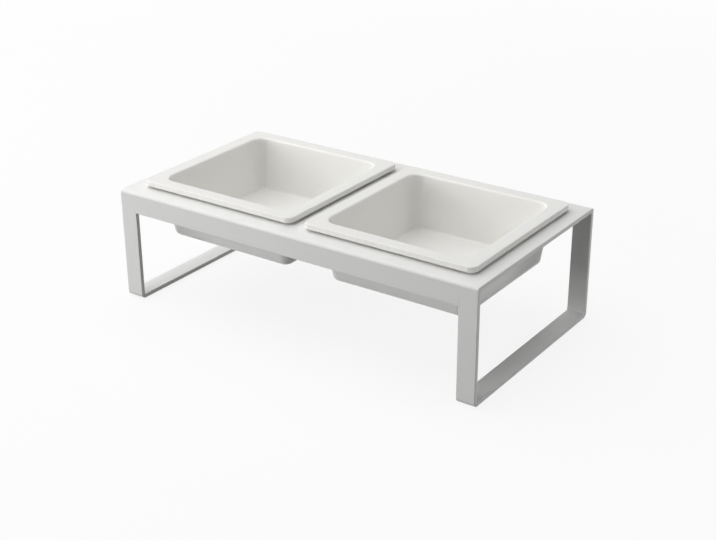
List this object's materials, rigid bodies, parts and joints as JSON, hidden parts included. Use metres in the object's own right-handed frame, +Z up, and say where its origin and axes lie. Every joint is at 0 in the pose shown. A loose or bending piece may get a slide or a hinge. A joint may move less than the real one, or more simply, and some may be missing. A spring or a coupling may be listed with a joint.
{
  "type": "dog feeder stand",
  "caption": "Low folded-steel feeder stand with strip legs bent into loops, whose deck holds square glazed ceramic bowls that lift out of their openings.",
  "frame": {"origin": "centre of the stand's footprint, on the floor under the pads", "axes": "+Z up, +X along the stand's length from the left bowl to the right bowl, +Y from the front apron to the back apron"},
  "size_m": [0.3, 0.16, 0.0915],
  "materials": {
    "powder_coat": "fine satin white powder coat",
    "glaze": "glossy white glaze",
    "silicone": "matt clear-white silicone"
  },
  "bodies": {
    "stand": {"deck_panel": "powder_coat", "left_leg_loop": "powder_coat", "right_leg_loop": "powder_coat", "left_bumper_front_left": "silicone", "left_bumper_front_right": "silicone", "left_bumper_back_left": "silicone", "left_bumper_back_right": "silicone", "right_bumper_front_left": "silicone", "right_bumper_front_right": "silicone", "right_bumper_back_left": "silicone", "right_bumper_back_right": "silicone", "floor_pad_front_left": "silicone", "floor_pad_front_right": "silicone", "floor_pad_back_left": "silicone", "floor_pad_back_right": "silicone"},
    "left_bowl_body": {"left_bowl": "glaze"},
    "right_bowl_body": {"right_bowl": "glaze"}
  },
  "joints": [
    {"name": "left_bowl_lift", "type": "slide", "parent": "stand", "child": "left_bowl_body", "axis": [0, 0, 1], "range_m": [0, 0.06]},
    {"name": "right_bowl_lift", "type": "slide", "parent": "stand", "child": "right_bowl_body", "axis": [0, 0, 1], "range_m": [0, 0.06]}
  ]
}
